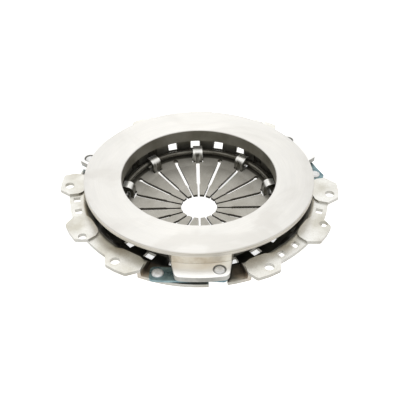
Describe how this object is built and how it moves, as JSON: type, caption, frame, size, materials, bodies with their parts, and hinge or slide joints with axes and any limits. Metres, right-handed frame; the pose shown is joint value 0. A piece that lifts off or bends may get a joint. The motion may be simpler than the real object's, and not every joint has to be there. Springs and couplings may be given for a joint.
{
  "type": "clutch pressure plate",
  "caption": "Round clutch cover with a machined friction ring held in a pressed steel dish by strap springs, and radial diaphragm fingers around an open centre.",
  "frame": {"origin": "on the axis, in the face of the cover flange that bolts to the flywheel", "axes": "+Z along the axis towards the flywheel; +X along the three pairs of bolt holes, which puts the ears at 34.5, 154.5 and 274.5 degrees about Z, counted from +X towards +Y"},
  "size_m": [0.2816, 0.2737, 0.045],
  "materials": {
    "plate_iron": "ground friction face, cast sides",
    "cover_steel": "pressed, faint yellow passivation",
    "finger_steel": "matt, heat treated",
    "ring_bronze": "oiled",
    "strap_blue": "blued spring steel",
    "rivet_zinc": "bright",
    "washer_dark": "dark"
  },
  "bodies": {
    "cover": {"cover": "cover_steel", "fulcrum_ring": "ring_bronze", "cover_rivet_1": "rivet_zinc", "cover_rivet_2": "rivet_zinc", "cover_rivet_3": "rivet_zinc", "drive_strap_a1": "strap_blue", "drive_strap_a2": "strap_blue", "drive_strap_a3": "strap_blue", "drive_strap_b1": "strap_blue", "drive_strap_b2": "strap_blue", "drive_strap_b3": "strap_blue", "drive_strap_c1": "strap_blue", "drive_strap_c2": "strap_blue", "drive_strap_c3": "strap_blue"},
    "plate": {"pressure_plate": "plate_iron", "plate_rivet_1": "rivet_zinc", "plate_rivet_2": "rivet_zinc", "plate_rivet_3": "rivet_zinc", "strap_washer_1": "washer_dark", "strap_washer_2": "washer_dark", "strap_washer_3": "washer_dark"},
    "finger_01": {"diaphragm_finger_01": "finger_steel"},
    "finger_02": {"diaphragm_finger_02": "finger_steel"},
    "finger_03": {"diaphragm_finger_03": "finger_steel"},
    "finger_04": {"diaphragm_finger_04": "finger_steel"},
    "finger_05": {"diaphragm_finger_05": "finger_steel"},
    "finger_06": {"diaphragm_finger_06": "finger_steel"},
    "finger_07": {"diaphragm_finger_07": "finger_steel"},
    "finger_08": {"diaphragm_finger_08": "finger_steel"},
    "finger_09": {"diaphragm_finger_09": "finger_steel"},
    "finger_10": {"diaphragm_finger_10": "finger_steel"},
    "finger_11": {"diaphragm_finger_11": "finger_steel"},
    "finger_12": {"diaphragm_finger_12": "finger_steel"},
    "finger_13": {"diaphragm_finger_13": "finger_steel"},
    "finger_14": {"diaphragm_finger_14": "finger_steel"},
    "finger_15": {"diaphragm_finger_15": "finger_steel"},
    "finger_16": {"diaphragm_finger_16": "finger_steel"},
    "finger_17": {"diaphragm_finger_17": "finger_steel"},
    "finger_18": {"diaphragm_finger_18": "finger_steel"}
  },
  "joints": [
    {"name": "plate_lift", "type": "slide", "parent": "cover", "child": "plate", "axis": [0, 0, 1], "range_m": [-0.0018, 0], "stiffness_N_per_m": 20000, "springref_m": 0.005, "deforming": ["drive_strap_a1", "drive_strap_a2", "drive_strap_a3", "drive_strap_b1", "drive_strap_b2", "drive_strap_b3", "drive_strap_c1", "drive_strap_c2", "drive_strap_c3"]},
    {"name": "finger_rock_01", "type": "hinge", "parent": "cover", "child": "finger_01", "pos_m": [0.01925, -0.07445, -0.01725], "axis": [0.9681, 0.2504, 0], "range_deg": [0, 10.5]},
    {"name": "finger_rock_02", "type": "hinge", "parent": "cover", "child": "finger_02", "pos_m": [0.04356, -0.06338, -0.01725], "axis": [0.8241, 0.5664, 0], "range_deg": [0, 10.5]},
    {"name": "finger_rock_03", "type": "hinge", "parent": "cover", "child": "finger_03", "pos_m": [0.0626, -0.04466, -0.01725], "axis": [0.5807, 0.8141, 0], "range_deg": [0, 10.5]},
    {"name": "finger_rock_04", "type": "hinge", "parent": "cover", "child": "finger_04", "pos_m": [0.0741, -0.02055, -0.01725], "axis": [0.2672, 0.9636, 0], "range_deg": [0, 10.5]},
    {"name": "finger_rock_05", "type": "hinge", "parent": "cover", "child": "finger_05", "pos_m": [0.07666, 0.00603, -0.01725], "axis": [-0.0785, 0.9969, 0], "range_deg": [0, 10.5]},
    {"name": "finger_rock_06", "type": "hinge", "parent": "cover", "child": "finger_06", "pos_m": [0.06998, 0.03189, -0.01725], "axis": [-0.4147, 0.91, 0], "range_deg": [0, 10.5]},
    {"name": "finger_rock_07", "type": "hinge", "parent": "cover", "child": "finger_07", "pos_m": [0.05485, 0.0539, -0.01725], "axis": [-0.7009, 0.7133, 0], "range_deg": [0, 10.5]},
    {"name": "finger_rock_08", "type": "hinge", "parent": "cover", "child": "finger_08", "pos_m": [0.03311, 0.06941, -0.01725], "axis": [-0.9026, 0.4305, 0], "range_deg": [0, 10.5]},
    {"name": "finger_rock_09", "type": "hinge", "parent": "cover", "child": "finger_09", "pos_m": [0.00737, 0.07655, -0.01725], "axis": [-0.9954, 0.0958, 0], "range_deg": [0, 10.5]},
    {"name": "finger_rock_10", "type": "hinge", "parent": "cover", "child": "finger_10", "pos_m": [-0.01925, 0.07445, -0.01725], "axis": [-0.9681, -0.2504, 0], "range_deg": [0, 10.5]},
    {"name": "finger_rock_11", "type": "hinge", "parent": "cover", "child": "finger_11", "pos_m": [-0.04356, 0.06338, -0.01725], "axis": [-0.8241, -0.5664, 0], "range_deg": [0, 10.5]},
    {"name": "finger_rock_12", "type": "hinge", "parent": "cover", "child": "finger_12", "pos_m": [-0.0626, 0.04466, -0.01725], "axis": [-0.5807, -0.8141, 0], "range_deg": [0, 10.5]},
    {"name": "finger_rock_13", "type": "hinge", "parent": "cover", "child": "finger_13", "pos_m": [-0.0741, 0.02055, -0.01725], "axis": [-0.2672, -0.9636, 0], "range_deg": [0, 10.5]},
    {"name": "finger_rock_14", "type": "hinge", "parent": "cover", "child": "finger_14", "pos_m": [-0.07666, -0.00603, -0.01725], "axis": [0.0785, -0.9969, 0], "range_deg": [0, 10.5]},
    {"name": "finger_rock_15", "type": "hinge", "parent": "cover", "child": "finger_15", "pos_m": [-0.06998, -0.03189, -0.01725], "axis": [0.4147, -0.91, 0], "range_deg": [0, 10.5]},
    {"name": "finger_rock_16", "type": "hinge", "parent": "cover", "child": "finger_16", "pos_m": [-0.05485, -0.0539, -0.01725], "axis": [0.7009, -0.7133, 0], "range_deg": [0, 10.5]},
    {"name": "finger_rock_17", "type": "hinge", "parent": "cover", "child": "finger_17", "pos_m": [-0.03311, -0.06941, -0.01725], "axis": [0.9026, -0.4305, 0], "range_deg": [0, 10.5]},
    {"name": "finger_rock_18", "type": "hinge", "parent": "cover", "child": "finger_18", "pos_m": [-0.00737, -0.07655, -0.01725], "axis": [0.9954, -0.0958, 0], "range_deg": [0, 10.5]}
  ],
  "couplings": [
    {"joint": "finger_rock_01", "follows": "plate_lift", "rad_per_m": -100},
    {"joint": "finger_rock_02", "follows": "plate_lift", "rad_per_m": -100},
    {"joint": "finger_rock_03", "follows": "plate_lift", "rad_per_m": -100},
    {"joint": "finger_rock_04", "follows": "plate_lift", "rad_per_m": -100},
    {"joint": "finger_rock_05", "follows": "plate_lift", "rad_per_m": -100},
    {"joint": "finger_rock_06", "follows": "plate_lift", "rad_per_m": -100},
    {"joint": "finger_rock_07", "follows": "plate_lift", "rad_per_m": -100},
    {"joint": "finger_rock_08", "follows": "plate_lift", "rad_per_m": -100},
    {"joint": "finger_rock_09", "follows": "plate_lift", "rad_per_m": -100},
    {"joint": "finger_rock_10", "follows": "plate_lift", "rad_per_m": -100},
    {"joint": "finger_rock_11", "follows": "plate_lift", "rad_per_m": -100},
    {"joint": "finger_rock_12", "follows": "plate_lift", "rad_per_m": -100},
    {"joint": "finger_rock_13", "follows": "plate_lift", "rad_per_m": -100},
    {"joint": "finger_rock_14", "follows": "plate_lift", "rad_per_m": -100},
    {"joint": "finger_rock_15", "follows": "plate_lift", "rad_per_m": -100},
    {"joint": "finger_rock_16", "follows": "plate_lift", "rad_per_m": -100},
    {"joint": "finger_rock_17", "follows": "plate_lift", "rad_per_m": -100},
    {"joint": "finger_rock_18", "follows": "plate_lift", "rad_per_m": -100}
  ]
}
